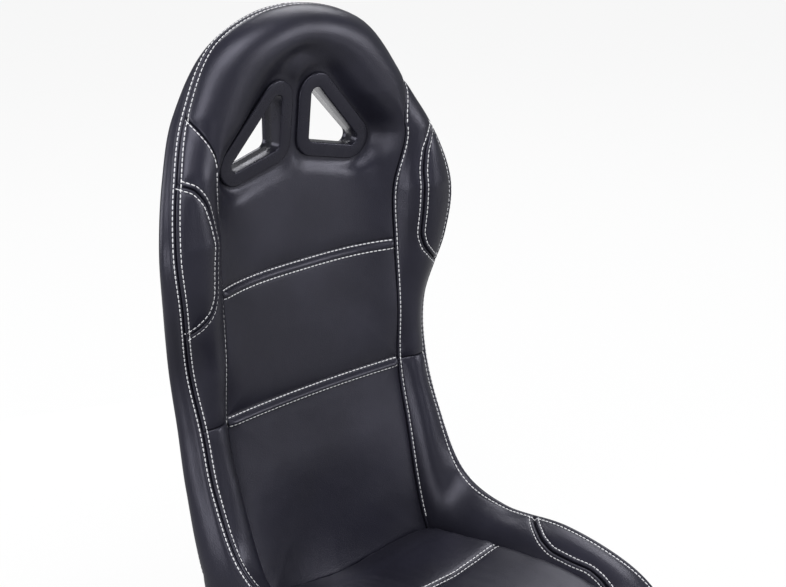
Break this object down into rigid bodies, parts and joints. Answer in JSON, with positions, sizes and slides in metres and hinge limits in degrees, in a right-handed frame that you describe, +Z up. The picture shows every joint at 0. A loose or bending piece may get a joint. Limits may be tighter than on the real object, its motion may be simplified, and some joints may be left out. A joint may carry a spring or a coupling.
{
  "type": "racing seat",
  "caption": "Fixed-back bucket racing seat with padded synthetic leather panels, harness slots, tube frame and sliding floor rails.",
  "frame": {"origin": "middle of the four floor bolt holes, on the underside of the floor rails", "axes": "+Z up, -Y the way the sitter faces, +X to the sitter's left"},
  "size_m": [0.5216, 0.6378, 0.9583],
  "materials": {
    "cover": "semi-gloss synthetic leather, fine grain",
    "patch_cover": "semi-gloss synthetic leather, fine grain",
    "foam": "moulded polyurethane foam",
    "frame_paint": "black powder coat on steel tube",
    "webbing": "woven elastic webbing",
    "bezel_plastic": "moulded, satin",
    "rail_steel": "zinc plated pressed steel",
    "fastener_steel": "zinc plated",
    "cage_plastic": "natural nylon",
    "ball_steel": "hardened bearing steel",
    "bar_paint": "black powder coat",
    "grip_rubber": "matte foam grip"
  },
  "bodies": {
    "base": {"floor_rail_left": "rail_steel", "floor_rail_right": "rail_steel"},
    "cages": {"ball_strips_left": "cage_plastic", "ball_strips_right": "cage_plastic", "balls_left": "ball_steel", "balls_right": "ball_steel"},
    "seat": {"head_panel": "cover", "mid_panel": "cover", "lumbar_panel": "cover", "shoulder_panel_left": "cover", "shoulder_panel_right": "cover", "shoulder_patch_left": "patch_cover", "shoulder_patch_right": "patch_cover", "bolster_panel_left": "cover", "bolster_panel_right": "cover", "thigh_patch_left": "patch_cover", "thigh_patch_right": "patch_cover", "side_panel_left": "cover", "side_panel_right": "cover", "rear_cover": "cover", "seat_cushion": "cover", "back_foam": "foam", "seat_foam": "foam", "frame": "frame_paint", "head_loop": "frame_paint", "back_straps": "webbing", "seat_straps": "webbing", "bezel_front_left": "bezel_plastic", "bezel_front_right": "bezel_plastic", "bezel_rear_left": "bezel_plastic", "bezel_rear_right": "bezel_plastic", "seat_rail_left": "rail_steel", "seat_rail_right": "rail_steel", "seat_bolts": "fastener_steel", "seat_nuts": "fastener_steel", "bar_pivots": "fastener_steel", "front_apron": "cover"},
    "release_bar": {"release_bar": "bar_paint", "bar_grip": "grip_rubber"}
  },
  "joints": [
    {"name": "seat_slide", "type": "slide", "parent": "base", "child": "seat", "axis": [0, -1, 0], "range_m": [-0.09, 0.09]},
    {"name": "cage_travel", "type": "slide", "parent": "base", "child": "cages", "axis": [0, -1, 0], "range_m": [-0.046, 0.046]},
    {"name": "bar_lift", "type": "hinge", "parent": "seat", "child": "release_bar", "pos_m": [0, 0.09, 0.03], "axis": [-1, 0, 0], "range_deg": [-1.2, 3], "stiffness_Nm_per_rad": 60, "springref_deg": 1.15}
  ],
  "couplings": [
    {"joint": "cage_travel", "follows": "seat_slide", "ratio": 0.5}
  ]
}
